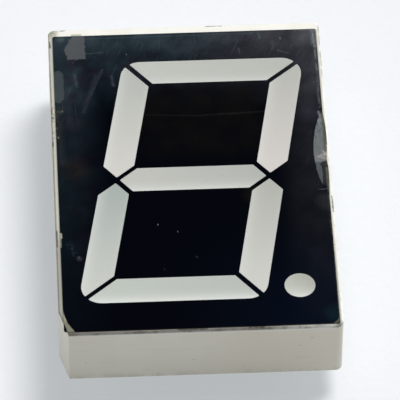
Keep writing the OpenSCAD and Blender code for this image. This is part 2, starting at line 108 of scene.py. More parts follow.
class Look:
    """A material, with short ways to add the nodes that its colour, roughness and bump come from."""

    def __init__(self, name, roughness=0.5, metallic=0.0, ior=1.5):
        self.material = bpy.data.materials.new(name)
        self.material.use_nodes = True
        self.tree = self.material.node_tree
        self.shader = self.tree.nodes["Principled BSDF"]
        self.shader.inputs["Roughness"].default_value = roughness
        self.shader.inputs["Metallic"].default_value = metallic
        self.shader.inputs["IOR"].default_value = ior
        self.place = self.add("ShaderNodeTexCoord").outputs["Object"]

    def add(self, kind, **settings):
        """A new node with its settings."""
        node = self.tree.nodes.new(kind)
        for name, value in settings.items():
            setattr(node, name, value)
        return node

    def feed(self, socket, value):
        """A number, a vector or another node's output goes into a socket."""
        if isinstance(value, bpy.types.NodeSocket):
            self.tree.links.new(value, socket)
        else:
            socket.default_value = value

    def math(self, operation, a, b=0.0, c=0.0, clamp=False):
        """One sum on up to three numbers."""
        node = self.add("ShaderNodeMath", operation=operation, use_clamp=clamp)
        for socket, value in zip(node.inputs, (a, b, c)):
            self.feed(socket, value)
        return node.outputs[0]

    def vector(self, operation, a, b=(0.0, 0.0, 0.0), scale=1.0):
        """One sum on vectors; DOT_PRODUCT and DISTANCE give a number."""
        node = self.add("ShaderNodeVectorMath", operation=operation)
        self.feed(node.inputs[0], a)
        if operation == "SCALE":
            self.feed(node.inputs["Scale"], scale)
        else:
            self.feed(node.inputs[1], b)
        return node.outputs["Value" if operation in ("DOT_PRODUCT", "DISTANCE") else "Vector"]

    def in_mm(self, origin=(0.0, 0.0, 0.0)):
        """Position in millimetres from a point given in metres."""
        return self.vector("SCALE", self.vector("SUBTRACT", self.place, tuple(origin)), scale=TO_MM)

    def axis(self, position, name):
        """One coordinate of a position: X, Y or Z."""
        node = self.add("ShaderNodeSeparateXYZ")
        self.feed(node.inputs[0], position)
        return node.outputs[name]

    def step(self, value, low, high, smooth=True):
        """0 up to low, 1 from high; low may be above high."""
        node = self.add("ShaderNodeMapRange", interpolation_type="SMOOTHSTEP" if smooth else "LINEAR")
        flip = low > high
        self.feed(node.inputs["Value"], value)
        for socket, number in (("From Min", min(low, high)), ("From Max", max(low, high)),
                               ("To Min", float(flip)), ("To Max", float(not flip))):
            self.feed(node.inputs[socket], number)
        return node.outputs[0]

    def noise(self, position, scale, detail=2.0, rough=0.5):
        """Noise from about 0.25 to 0.75, its cells 1/scale wide in the position's unit."""
        node = self.add("ShaderNodeTexNoise", noise_dimensions="3D")
        self.feed(node.inputs["Vector"], position)
        for socket, number in (("Scale", scale), ("Detail", detail), ("Roughness", rough)):
            self.feed(node.inputs[socket], number)
        return node.outputs["Fac"]

    def stretched(self, position, factors, turn=0.0):
        """The position turned about Z by turn degrees and then scaled along each axis."""
        if turn:
            node = self.add("ShaderNodeVectorRotate", rotation_type="Z_AXIS")
            self.feed(node.inputs["Vector"], position)
            node.inputs["Angle"].default_value = math.radians(turn)
            position = node.outputs[0]
        return self.vector("MULTIPLY", position, factors)

    def blend(self, share, a, b):
        """Colour a turning into colour b as share goes from 0 to 1."""
        node = self.add("ShaderNodeMix", data_type="RGBA", clamp_factor=True)
        self.feed(node.inputs["Factor"], share)
        for socket, value in ((node.inputs[6], a), (node.inputs[7], b)):
            self.feed(socket, value if isinstance(value, bpy.types.NodeSocket) else (*value, 1.0))
        return node.outputs[2]

    def paint(self, colour, share, shade, amount=1.0):
        """A colour with a shade laid over it, as far as share times amount."""
        return self.blend(self.math("MULTIPLY", share, amount), colour, linear(*shade))

    def flat(self, position):
        """The position with its height set to 0."""
        return self.vector("MULTIPLY", position, (1.0, 1.0, 0.0))

    def ragged(self, value, jitter, amount):
        """A value shifted by jitter, so that an edge drawn from it isn't straight."""
        return self.math("MULTIPLY_ADD", jitter, amount, value)

    def between(self, share, low, high):
        """low where share is 0, high where it is 1."""
        return self.math("MULTIPLY_ADD", share, high - low, low)

    def most(self, *values):
        """The largest of the values."""
        result = values[0]
        for value in values[1:]:
            result = self.math("MAXIMUM", result, value)
        return result

    def product(self, *values):
        """The values multiplied together."""
        result = values[0]
        for value in values[1:]:
            result = self.math("MULTIPLY", result, value)
        return result

    def stroke_distance(self, position, start, end):
        """Distance from a flat line between two points, in the position's unit."""
        start, end = Vector((*start, 0.0)), Vector((*end, 0.0))
        along = end - start
        offset = self.vector("SUBTRACT", position, tuple(start))
        share = self.math("MULTIPLY", self.vector("DOT_PRODUCT", offset, tuple(along)),
                          1.0 / along.length_squared, clamp=True)
        foot = self.vector("SCALE", tuple(along), scale=share)
        return self.vector("DISTANCE", offset, foot)

    def side(self, position, point, normal):
        """Distance past a line through a point, towards its normal."""
        normal = Vector((*normal, 0.0)).normalized()
        dot = self.vector("DOT_PRODUCT", position, tuple(normal))
        return self.math("SUBTRACT", dot, Vector((*point, 0.0)).dot(normal))

    def polygon_distance(self, position, corners):
        """Distance past the nearest edge of a convex polygon, negative inside it.

        Its corners run clockwise."""
        sides = []
        for a, b in zip(corners, corners[1:] + corners[:1]):
            sides.append(self.side(position, a, (a[1] - b[1], b[0] - a[0])))
        return self.most(*sides)

    def bump(self, height, strength, distance):
        """Fine relief from a height between 0 and 1, distance metres deep."""
        node = self.add("ShaderNodeBump")
        node.inputs["Strength"].default_value = strength
        node.inputs["Distance"].default_value = distance
        self.feed(node.inputs["Height"], height)
        self.feed(self.shader.inputs["Normal"], node.outputs[0])

    def set(self, socket, value):
        """A value for one of the shader's sockets."""
        self.feed(self.shader.inputs[socket], value)


def linear(r, g, b):
    """A colour as seen on a screen, 0 to 255, as the shader's linear light."""
    return tuple(c / 255 / 12.92 if c <= 10 else ((c / 255 + 0.055) / 1.055) ** 2.4 for c in (r, g, b))


def dress(node_names, look):
    """A CAD node takes a look as its only material."""
    for name in node_names:
        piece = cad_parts[name]
        piece.data.materials.clear()
        piece.data.materials.append(look.material)


# ---- materials ----

# each light bar's colour at its top or right end, then at its bottom or left end, which paints light
# and shade along it, and how much paler it is along its lower or left edge, a painted highlight where
# its white cavity wall catches the light
BAR_LOOKS = {
    "segment_a": ((179, 183, 177), (190, 193, 188), 0.3),
    "segment_b": ((176, 178, 173), (209, 205, 202), 0.22),
    "segment_c": ((168, 171, 165), (204, 206, 201), 0.2),
    "segment_d": ((177, 184, 178), (188, 197, 190), 0.6),
    "segment_e": ((160, 170, 167), (199, 204, 198), 0.32),
    "segment_f": ((174, 180, 174), (210, 208, 204), 0.3),
    "segment_g": ((172, 175, 171), (191, 193, 188), 0.42),
    "decimal_point": ((166, 169, 159), (186, 192, 184), 0.55),
}

# single dark nicks on the housing's rim: start, end and radius, from the middle of the housing
RIM_NICKS = (
    ((-21.6, 34.6), (-21.0, 34.65), 0.12), ((-23.7, 31.9), (-23.6, 30.6), 0.13),
    ((-23.7, 14.2), (-23.5, 13.9), 0.12), ((-23.75, 8.4), (-23.7, 7.2), 0.09),
    ((4.0, 34.6), (6.8, 34.62), 0.05), ((23.7, -6.0), (23.72, -9.5), 0.07),
    ((-4.0, -34.6), (1.0, -34.62), 0.08), ((8.0, -34.6), (10.5, -34.6), 0.08),
    ((-23.7, -12.0), (-23.65, -15.5), 0.1),
)


def worn_and_shaded_rim(look, p, colour):
    """The housing's front with dirt and painted shade along its edges, darker beside the film, a stain
    and dark nicks.
    """
    x, y, z = (look.axis(p, a) for a in "XYZ")
    flat = look.flat(p)
    half_w, half_l, top = house_high.x * TO_MM, house_high.y * TO_MM, z_face * TO_MM
    fine = look.noise(p, 1.6, 4.0, 0.6)
    jitter = look.math("SUBTRACT", fine, 0.5)
    paint = look.paint

    # how far a point stands in from the outline, and whether it is on the front
    from_left = look.math("ADD", x, half_w)
    from_right = look.math("SUBTRACT", half_w, x)
    from_top = look.math("SUBTRACT", half_l, y)
    from_low = look.math("ADD", y, half_l)
    margin = look.math("MINIMUM", look.math("MINIMUM", from_left, from_right),
                       look.math("MINIMUM", from_top, from_low))
    front = look.step(z, top - 0.7, top - 0.25)

    # a dark line along the outer edge: dirt all round, made stronger on the left and low sides by
    # painted shade, as those sides face away from the light
    patchy = look.step(look.noise(p, 0.45, 3.0, 0.65), 0.42, 0.6)
    edge = look.product(front, look.step(look.ragged(margin, jitter, 0.5), 0.34, 0.1), patchy)
    shade_side = look.most(look.step(from_left, 2.0, 1.0), look.step(from_low, 2.0, 1.0))
    colour = paint(colour, edge, (140, 136, 114), look.between(shade_side, 0.2, 0.75))

    # painted shade on the left rim, which faces away from the light: dull, darker low down, with a
    # darker line along its outer edge
    colour = paint(colour, look.product(front, look.step(from_left, 2.0, 1.0)), (178, 177, 165), 0.75)
    low_left_shade = look.product(front, look.step(from_left, 1.4, 0.9), look.step(y, -9.0, -18.0))
    colour = paint(colour, low_left_shade, (130, 129, 119), 0.6)
    outer = look.product(front, look.step(look.ragged(from_left, jitter, 0.25), 0.36, 0.2),
                         look.step(y, 27.0, 22.0))
    colour = paint(colour, outer, (120, 114, 98), 0.5)

    # darker against the film's left and right edges, by amounts that change with the height
    level = look.product(front, look.step(y, 33.2, 32.9))
    beside = look.product(level, look.step(from_left, 0.5, 0.75), look.step(from_left, 1.4, 0.9))
    beside_amount = look.math("MULTIPLY_ADD", look.step(y, 8.0, 12.0), 0.3,
                      look.between(look.step(y, -14.0, -18.0), 0.45, 0.6))
    colour = paint(colour, beside, (118, 121, 112), beside_amount)
    beside = look.product(level, look.step(from_right, 0.2, 0.5), look.step(from_right, 1.4, 0.9))
    beside_amount = look.math("MULTIPLY_ADD", look.step(y, 14.0, 22.0), 0.16,
                      look.between(look.step(y, -14.0, -24.0), 0.42, 0.75))
    colour = paint(colour, beside, (128, 130, 120), beside_amount)

    # painted shade on the lower rim, darkest on the left, then a sliver at the upper right, and crumbs
    # on the left
    lower = look.product(front, look.step(from_low, 1.4, 0.7))
    colour = paint(colour, lower, (96, 93, 84), look.between(look.step(x, 20.0, 10.0), 0.25, 0.75))
    sliver = look.product(front, look.step(from_right, 0.3, 0.16), look.step(y, 20.0, 23.0),
                          look.step(look.noise(p, 0.8, 3.0, 0.7), 0.4, 0.5))
    colour = paint(colour, sliver, (150, 148, 132), 0.6)
    crumbs = look.product(front, look.step(from_left, 0.8, 0.3), look.step(y, 8.4, 9.4),
                          look.step(y, 17.0, 15.8),
                          look.step(look.noise(p, 1.8, 3.0, 0.7), 0.5, 0.56))
    colour = paint(colour, crumbs, (84, 84, 62), 0.8)

    # an olive stain in the upper left corner, a drop beside the upper patch, and the nicks
    corner = (-half_w + 0.2, half_l - 0.3, 0.0)
    stain = look.step(look.vector("DISTANCE", flat, corner), 2.4, 0.4)
    stain = look.product(stain, front, look.step(fine, 0.3, 0.6))
    colour = paint(colour, stain, (142, 144, 112), 0.85)
    drop = look.step(look.stroke_distance(flat, (-19.6, 33.35), (-18.3, 33.35)), 0.5, 0.1)
    colour = paint(colour, look.product(drop, front), (168, 176, 150), 0.8)
    for start, end, radius in RIM_NICKS:
        distance = look.ragged(look.stroke_distance(flat, start, end), jitter, 0.3)
        nick = look.product(front, look.step(distance, radius + 0.12, radius - 0.04))
        colour = paint(colour, nick, (72, 68, 56), 0.85)
    return colour


def worn_walls(look, p, colour):
    """The housing's walls, a little yellowed in places, with faint rubs and a few dark specks."""
    z = look.axis(p, "Z")
    top, foot = z_face * TO_MM, house_low.z * TO_MM
    wall = look.step(z, top - 0.5, top - 1.2)
    yellowed = look.step(look.noise(p, 0.03, 2.0, 0.45), 0.34, 0.66)
    colour = look.paint(colour, wall, (245, 242, 228), 0.6)
    colour = look.paint(colour, look.product(wall, yellowed), (237, 231, 211), 0.5)
    rub = look.step(look.noise(look.stretched(p, (0.07, 0.07, 1.3)), 1.0, 4.0, 0.6), 0.62, 0.78)
    colour = look.paint(colour, look.product(wall, rub), (196, 189, 170), 0.3)
    grimy = look.product(look.step(z, foot + 1.6, foot),
                         look.step(look.noise(p, 0.5, 3.0, 0.6), 0.42, 0.62))
    colour = look.paint(colour, grimy, (194, 188, 168), 0.3)
    specks = look.step(look.noise(p, 1.1, 2.0, 0.6), 0.735, 0.76)
    return look.paint(colour, specks, (120, 112, 92), 0.4)


def ivory_plastic():
    """Moulded ivory plastic, dirty and nicked round its front, with painted shade on its left and lower
    rim, and faintly rubbed on its walls.
    """
    look = Look("ivory_plastic", roughness=0.42)
    p = look.in_mm()
    cloudy = look.step(look.noise(p, 0.15, 3.0), 0.35, 0.65)
    colour = look.blend(cloudy, linear(252, 252, 246), linear(247, 246, 237))
    colour = worn_walls(look, p, worn_and_shaded_rim(look, p, colour))
    look.set("Base Color", colour)
    look.set("Roughness", look.math("MULTIPLY_ADD", look.noise(p, 0.5, 4.0, 0.6), 0.3, 0.24))
    dimples = look.math("MULTIPLY", look.noise(p, 0.12, 1.0), 6.0)
    look.bump(look.math("ADD", dimples, look.noise(p, 7.0, 2.0)), 0.05, 0.00008)
    return look


def milky_resin(name):
    """Cast milky resin, with painted shade from end to end and a painted highlight along one edge."""
    look = Look("milky_" + name, roughness=0.38)
    low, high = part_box(name)
    size = (high - low) * TO_MM
    anywhere, p = look.in_mm(), look.in_mm((low + high) / 2)
    x, y = look.axis(p, "X"), look.axis(p, "Y")
    upright = size.y > 1.5 * size.x
    dark, pale, edge_highlight = BAR_LOOKS[name]
    if upright:
        along, across, reach = y, look.math("MULTIPLY_ADD", y, -SLANT, x), size.y / 2
    else:
        along, across, reach = look.math("ADD", x, y), y, size.x / 2
    half = BAR_W / 2
    # painted light and shade from one end of the bar to the other
    colour = look.blend(look.step(along, reach, -reach, smooth=False), linear(*dark), linear(*pale))
    # a painted highlight along the lower or left edge
    edge = look.math("POWER", look.step(across, 0.1 * half, -half, smooth=False), 2.2)
    colour = look.paint(colour, edge, (240, 243, 241), edge_highlight)
    # a fainter painted highlight along the far edge
    far = look.step(across, 0.7 * half, half)
    colour = look.paint(colour, far, (222, 224, 218), 0.08 if upright else 0.03)
    specks = look.step(look.noise(anywhere, 2.2, 2.0, 0.6), 0.7, 0.73)
    colour = look.paint(colour, specks, (130, 128, 116), 0.25)
    look.set("Base Color", colour)
    look.set("Subsurface Weight", 0.08)
    look.set("Subsurface Radius", (0.0006, 0.0006, 0.0005))
    look.set("Subsurface Scale", 1.0)
    look.set("Roughness", look.math("MULTIPLY_ADD", look.noise(anywhere, 1.2, 3.0), 0.2, 0.3))
    look.bump(look.noise(anywhere, 3.0, 3.0), 0.08, 0.00005)
    return look


# clouds of dirt on the film: middle, radius, shade and strength. A blue tinge low on the right, brown
# ones beside the loops, and small smudges.
FILM_CLOUDS = (
    ((22.8, -31.4), 3.0, (16, 38, 46), 0.62), ((-20.2, 2.4), 3.8, (34, 30, 29), 0.7),
    ((-20.4, 13.4), 3.2, (50, 46, 54), 0.34), ((10.6, -4.6), 3.2, (24, 20, 15), 0.7),
    ((-20.1, -17.8), 0.75, (62, 58, 70), 0.8), ((-22.4, 15.8), 0.7, (78, 82, 70), 0.6),
    ((20.9, 14.0), 2.8, (46, 46, 58), 0.6), ((22.8, -6.6), 2.8, (56, 56, 58), 0.7),
    ((-21.9, 33.2), 1.1, (96, 112, 112), 0.45),
)

# wiped streaks, and last the fold across the upper loop in two lengths: start, end, radius,
# softness, shade and strength. They are brushed out, by a noise round 0.5, which RAISED makes up for.
RAISED = 1.7
FILM_STREAKS = (
    ((-14.7, 25.5), (-16.9, 19.8), 0.1, 0.35, (60, 72, 84), 0.7),
    ((-15.9, 24.2), (-18.3, 15.6), 0.15, 0.6, (52, 56, 70), 0.7),
    ((-19.6, 24.4), (-19.3, 21.8), 0.15, 0.45, (66, 78, 90), 0.7),
    ((-13.2, 24.0), (-12.9, 21.6), 0.1, 0.35, (74, 88, 96), 0.7),
    ((-21.4, 21.0), (-20.8, 13.0), 0.2, 0.9, (42, 44, 60), 0.6),
    ((-22.6, 17.0), (-22.5, 4.0), 0.2, 1.0, (60, 60, 66), 0.5),
    ((-17.2, 29.4), (-14.6, 29.6), 0.05, 0.3, (66, 86, 92), 0.7),
    ((13.1, 33.2), (13.2, 32.0), 0.1, 0.3, (72, 90, 94), 0.7),
    ((15.4, 31.0), (15.5, 29.2), 0.1, 0.4, (64, 80, 76), 0.6),
    ((9.4, 29.6), (9.5, 28.4), 0.05, 0.2, (84, 96, 100), 0.7),
    ((16.2, 28.9), (18.0, 28.1), 0.1, 0.3, (78, 84, 86), 0.6),
    ((-7.6, 14.6), (1.0, 14.0), 0.05, 0.3, (46, 46, 45), 0.36),
    ((1.0, 14.0), (12.9, 14.5), 0.05, 0.3, (52, 50, 50), 0.44),
)

# patches where the film has come away from the print: corners, clockwise, and shade
LOOSE_PATCHES = (
    ([(-19.7, 33.7), (-17.65, 33.7), (-17.6, 28.2), (-20.7, 28.1), (-21.2, 30.4), (-20.9, 31.4)],
     (83, 87, 91)),
    ([(-23.4, 25.3), (-22.2, 25.6), (-21.6, 24.5), (-21.6, 19.0), (-22.3, 18.0), (-23.4, 18.2)],
     (62, 71, 75)),
)

# the unstuck edge: the outlines, clockwise, of its lower bulge, the pucker between the bulges and the
# fan of creases above that, and the creases in the fan, which take painted reflection, shade and
# highlights
LOWER_BULGE = [(21.3, 2.0), (21.85, 2.0), (22.25, 1.0), (22.35, -0.9), (22.2, -2.6), (21.5, -0.9),
               (21.2, 0.8)]
PUCKER = [(21.9, 1.75), (22.4, 2.35), (23.3, 2.5), (23.3, 0.8), (22.5, 1.0)]
CREASE_FAN = [(21.7, 3.62), (22.6, 4.5), (23.3, 4.5), (23.3, 3.1)]
CREASES = (((21.75, 3.65), (23.15, 4.0)), ((21.75, 3.6), (23.15, 2.9)), ((22.6, 4.7), (23.15, 3.9)))

# scuffs down the film's right edge and in its upper corner, in the form of the streaks
EDGE_SCUFFS = (
    ((22.7, 33.4), (22.7, 29.6), 0.2, 0.55, (136, 142, 147), 0.85),
    ((23.0, 33.5), (19.4, 33.5), 0.05, 0.35, (104, 106, 114), 0.7),
    ((22.75, 29.6), (22.85, 24.0), 0.12, 0.3, (124, 128, 130), 0.85),
    ((22.9, 24.0), (22.8, 15.2), 0.15, 0.35, (92, 95, 93), 0.9),
    ((22.95, -1.0), (22.95, -14.0), 0.05, 0.2, (56, 58, 60), 0.8),
    ((23.16, -3.0), (23.16, -32.0), 0.05, 0.14, (112, 114, 106), 0.8),
    ((22.4, 27.0), (22.1, 21.0), 0.3, 0.8, (62, 64, 74), 0.5),
)

# chips out of the film's left edge: start, end and radius
EDGE_CHIPS = (((-23.2, -12.2), (-23.15, -12.9), 0.3), ((-23.25, -12.9), (-23.25, -15.0), 0.16))

# specks on the film: place, radius and shade
FILM_SPECKS = (
    ((-6.5, -10.6), 0.06, (128, 128, 120)), ((-3.2, -12.3), 0.05, (120, 120, 116)),
    ((-0.2, -18.1), 0.13, (44, 42, 42)), ((-5.8, -20.6), 0.1, (34, 36, 40)),
    ((-22.0, 16.1), 0.05, (130, 129, 104)), ((-20.2, -17.4), 0.1, (84, 80, 92)),
    ((16.8, 31.8), 0.14, (80, 96, 104)), ((-10.4, 29.1), 0.1, (80, 90, 96)),
    ((-22.9, 10.0), 0.1, (128, 132, 128)), ((3.2, -31.0), 0.05, (30, 32, 42)),
)


class Film(Look):
    """The film's material: clear film printed black on its back, hazy, scratched and coming away, with
    painted reflection, shade and highlights.
    """

    def __init__(self):
        super().__init__("black_film", roughness=0.2, ior=1.45)
        self.p = self.in_mm((film_mid.x, film_mid.y, 0.0))
        self.at = self.flat(self.p)
        self.x, self.y = self.axis(self.p, "X"), self.axis(self.p, "Y")
        self.jitter = self.math("SUBTRACT", self.noise(self.at, 1.3, 3.0, 0.6), 0.5)
        self.cloud = self.step(self.noise(self.at, 0.16, 4.0, 0.6), 0.32, 0.68)
        self.brushed = self.noise(self.stretched(self.at, (1.8, 0.2, 1.0), 30.0), 1.0, 4.0, 0.7)

    def stroke(self, start, end, radius, soft, ragged=0.0):
        """1 along a line between two points, 0 beyond its radius."""
        distance = self.stroke_distance(self.at, start, end)
        if ragged:
            distance = self.ragged(distance, self.jitter, ragged)
        return self.step(distance, radius + soft, radius - soft)

    def within(self, corners, ragged, soft=0.12):
        """1 inside a convex polygon, 0 outside it."""
        distance = self.ragged(self.polygon_distance(self.p, corners), self.jitter, ragged)
        return self.step(distance, soft, -soft)

    def haze_and_reflection(self):
        """The print's black under its haze of scratches, whose colour is partly a painted reflection:
        the colour, and how thick the haze is.
        """
        x, y = self.x, self.y
        black = self.blend(self.product(self.step(x, -8.0, 22.0), self.step(y, -8.0, -32.0)),
                           linear(1, 3, 10), linear(2, 9, 24))

        # a brown cast inside the upper loop
        beside = self.math("ABSOLUTE", self.math("SUBTRACT", x, 2.0))
        loop = self.product(self.step(beside, 13.0, 8.0), self.step(y, 2.0, 8.0),
                            self.step(y, 24.0, 19.0))
        cast = self.math("MULTIPLY", loop, self.between(self.cloud, 0.4, 1.0))
        colour = self.blend(cast, black, linear(13, 11, 10))

        # how thick the haze and its painted reflection are: thick along the top, thinner down both
        # sides, none at the bottom
        top = self.math("MULTIPLY_ADD", self.step(y, 27.5, 33.0), 0.43,
                        self.math("MULTIPLY", self.step(y, 15.0, 27.0, smooth=False), 0.57))
        top = self.product(top, self.math("SUBTRACT", 1.0, self.math("MULTIPLY", loop, 0.8)))
        shoulder = self.math("MULTIPLY", self.step(y, 13.0, 20.0),
                             self.between(self.step(x, -10.0, 10.0), 0.5, 0.33))
        sides = self.product(self.step(self.math("ABSOLUTE", x), 13.0, 21.0),
                             self.math("MULTIPLY_ADD", self.step(y, -36.0, 14.0, smooth=False), 0.34,
                                       self.math("ADD", shoulder, 0.02)))
        haze_and_reflection = self.product(self.most(top, sides), self.between(self.cloud, 0.55, 1.0),
                            self.math("MULTIPLY_ADD", self.brushed, 0.7, 0.65))

        # the haze's tint, a painted reflection: teal or violet on the left, grey on the right, paler in
        # the upper right corner
        spots = self.noise(self.vector("ADD", self.at, (7.0, 3.0, 0.0)), 0.24, 3.0)
        violet = self.product(self.step(spots, 0.4, 0.64), self.step(y, 31.0, 27.0),
                              self.step(x, -21.8, -20.4))
        tint = self.blend(violet, linear(35, 53, 62), linear(39, 39, 53))
        tint = self.blend(self.step(x, -8.0, 14.0), tint, linear(50, 53, 62))
        corner = self.product(self.step(x, 17.5, 21.5), self.step(y, 28.5, 33.0))
        tint = self.blend(corner, tint, linear(88, 90, 98))
        return self.blend(haze_and_reflection, colour, tint), haze_and_reflection

    def marks(self, colour, haze_and_reflection):
        """Hairline scratches, most where the haze is, and the clouds, streaks and loose patches."""
        for turn, shade, level in ((20.5, (80, 90, 98), 0.67), (-4.0, (70, 78, 84), 0.68)):
            hair = self.noise(self.stretched(self.at, (3.6, 0.14, 1.0), turn), 1.0, 2.0, 0.5)
            share = self.product(self.step(hair, level, level + 0.05), self.step(haze_and_reflection, 0.08, 0.5))
            colour = self.paint(colour, share, shade, 0.3)
        for at, radius, shade, amount in FILM_CLOUDS:
            spread = self.step(self.vector("DISTANCE", self.at, (*at, 0.0)), radius, 0.2 * radius)
            share = self.product(spread, self.between(self.cloud, 0.5, 1.0))
            colour = self.paint(colour, share, shade, amount)
        for start, end, radius, soft, shade, amount in FILM_STREAKS:
            share = self.product(self.stroke(start, end, radius, soft, 0.5), self.brushed)
            colour = self.paint(colour, share, shade, amount * RAISED)
        dull = self.stroke((-20.5, 33.0), (12.0, 33.15), 0.06, 0.22, 0.1)
        colour = self.paint(colour, dull, (66, 84, 88), 0.5)
        for corners, shade in LOOSE_PATCHES:
            distance = self.ragged(self.polygon_distance(self.p, corners), self.jitter, 0.8)
            colour = self.paint(colour, self.step(distance, 0.12, -0.1), shade, 0.9)
        return colour

    def unstuck_edge(self, colour):
        """The bulges of the right edge, in painted reflection and shade: pale under the upper one,
        darker under the lower, with painted highlights on its creases.
        """
        x, y, jitter = self.x, self.y, self.jitter
        grain = self.noise(self.stretched(self.at, (1.6, 0.5, 1.0)), 1.6, 3.0, 0.6)
        bow = self.vector("DISTANCE", self.at, (LENS_X, LENS_Y, 0.0))
        under = self.step(self.ragged(bow, jitter, 0.3), LENS_R + 0.06, LENS_R - 0.06)

        # a painted reflection on the upper bulge, which tilts towards the light
        inner = self.step(self.ragged(x, jitter, 0.5), HALF_W - 0.2, HALF_W - 0.34)
        upper = self.product(self.step(self.ragged(y, jitter, 0.8), 1.6, 2.8),
                             self.step(y, 13.1, 12.4))
        painted_reflection = self.blend(self.step(grain, 0.36, 0.62), linear(94, 103, 108), linear(124, 130, 131))
        painted_reflection = self.blend(self.step(y, 10.0, 2.5), painted_reflection, linear(122, 126, 128))
        colour = self.blend(self.math("MULTIPLY", self.product(under, inner, upper), 0.96),
                            colour, painted_reflection)

        # painted shade in the hollow beside the lower bulge
        hollow_shade = self.product(self.step(x, 22.1, 22.6), self.step(y, -3.6, -2.2),
                              self.step(y, 2.0, 1.0))
        colour = self.paint(colour, hollow_shade, (54, 56, 57), 0.8)
        # a painted reflection on the lower bulge
        lower = self.product(under, self.within(LOWER_BULGE, 0.4))
        colour = self.paint(colour, lower, (92, 98, 103), 0.92)
        # painted shade along the outer strip of the lifted edge
        rim = self.product(under, self.step(x, HALF_W - 0.42, HALF_W - 0.26),
                           self.step(y, -4.6, -3.0), self.step(y, 14.4, 13.0),
                           self.step(grain, 0.2, 0.5))
        colour = self.paint(colour, rim, (100, 101, 94), 0.85)

        # painted shade in the pucker between the bulges
        colour = self.paint(colour, self.within(PUCKER, 0.5, 0.1), (24, 24, 28), 0.9)
        # painted highlights on the fan of creases
        fan_highlight = self.product(self.within(CREASE_FAN, 0.4), self.step(grain, 0.3, 0.6))
        colour = self.paint(colour, fan_highlight, (150, 149, 146), 0.75)
        # painted highlights along each crease
        for start, end in CREASES:
            crease_highlight = self.stroke(start, end, 0.04, 0.16, 0.15)
            colour = self.paint(colour, crease_highlight, (206, 201, 196), 0.75)
        # a painted highlight along the lower bulge's end
        low = self.product(self.stroke((21.0, -3.9), (23.3, -3.8), 0.02, 0.16, 0.2),
                           self.step(x, 20.8, 22.6))
        colour = self.paint(colour, low, (128, 128, 130), 0.75)
        # a painted highlight at the top end of the upper bulge
        high = self.stroke((22.5, 14.0), (22.7, 12.9), 0.12, 0.25, 0.4)
        return self.paint(colour, high, (150, 158, 162), 0.8)

    def edge_wear(self, colour):
        """Scuffs down the right edge, chips and crumbs of dirt down the left, and single specks."""
        worn = self.noise(self.stretched(self.at, (1.4, 0.35, 1.0)), 1.6, 3.0, 0.65)
        worn = self.step(worn, 0.34, 0.58)
        for start, end, radius, soft, shade, amount in EDGE_SCUFFS:
            share = self.product(self.stroke(start, end, radius, soft, 0.4), worn)
            colour = self.paint(colour, share, shade, amount)
        crumbs = self.step(self.noise(self.at, 2.1, 3.0, 0.7), 0.5, 0.58)
        dirt = self.product(self.stroke((-23.0, 16.6), (-23.1, 9.4), 0.15, 0.4, 0.5), crumbs)
        colour = self.paint(colour, dirt, (86, 90, 76), 0.8)
        dirt = self.product(self.stroke((-21.7, -14.4), (-20.6, -17.4), 0.3, 0.6, 0.5), crumbs)
        colour = self.paint(colour, dirt, (48, 56, 68), 0.7)
        for start, end, radius in EDGE_CHIPS:
            colour = self.paint(colour, self.stroke(start, end, radius, 0.1, 0.3), (176, 177, 160), 0.9)
        for (at_x, at_y), radius, shade in FILM_SPECKS:
            speck = self.stroke((at_x, at_y), (at_x + 0.03, at_y - 0.22), radius, 0.1, 0.15)
            colour = self.paint(colour, speck, shade, 0.85)
        return colour

    def bare_corners(self, colour):
        """Print rubbed through over the housing's lower corners: the colour, and where the left is."""
        x, y, jitter = self.x, self.y, self.jitter
        corner = self.product(self.step(x, -20.3, -20.6), self.step(y, -28.6, -29.4))
        arc = self.vector("DISTANCE", self.at, (-13.73, -28.0, 0.0))
        tip = self.ragged(self.side(self.p, (-24.0, -29.05), TIP_WAY), jitter, 0.15)
        bare = self.product(corner, self.step(self.ragged(arc, jitter, 0.25), 9.48, 9.66),
                            self.step(tip, 0.05, -0.05))
        tone = self.blend(self.step(y, -30.2, -32.0), linear(176, 171, 154), linear(132, 132, 114))
        colour = self.blend(self.math("MULTIPLY", bare, 0.95), colour, tone)

        # a thin band across the right one
        ring = self.vector("DISTANCE", self.at, (21.75, -32.3, 0.0))
        quarter = self.product(self.step(x, 21.9, 22.5), self.step(y, -32.1, -32.6))
        band = self.product(quarter, self.step(self.ragged(ring, jitter, 0.4), 1.2, 1.4),
                            self.step(self.ragged(ring, jitter, 0.2), 1.82, 1.7))
        return self.paint(colour, band, (92, 95, 82), 0.8), bare


def black_film():
    """The film's material with all its marks, duller where it is hazy or bare."""
    look = Film()
    colour, haze_and_reflection = look.haze_and_reflection()
    colour = look.edge_wear(look.unstuck_edge(look.marks(colour, haze_and_reflection)))
    colour, bare = look.bare_corners(colour)
    look.set("Base Color", colour)
    look.set("Roughness", look.math("MULTIPLY_ADD", look.most(haze_and_reflection, bare), 0.14, 0.1))
    grain = look.math("MULTIPLY", look.brushed, 0.3)
    look.bump(look.math("ADD", look.noise(look.at, 0.5, 3.0), grain), 0.08, 0.0001)
    return look


def copper_tracks(row, pitch):
    """The tracks from the five pins of each row, as (start, end). The middle one joins the rows."""
    tracks = []
    for i in range(-2, 3):
        x, bend = i * TRACK_STEP, row - TRACK_BEND - abs(i)
        tracks += [((i * pitch, -row), (x, -bend)), ((i * pitch, row), (x, bend))]
        if i:
            tracks += [((x, -bend), (x, -LOW_END * abs(i))), ((x, bend), (x, HIGH_END * abs(i)))]
    tracks.append(((0.0, TRACK_BEND - row), (0.0, row - TRACK_BEND)))
    return tracks


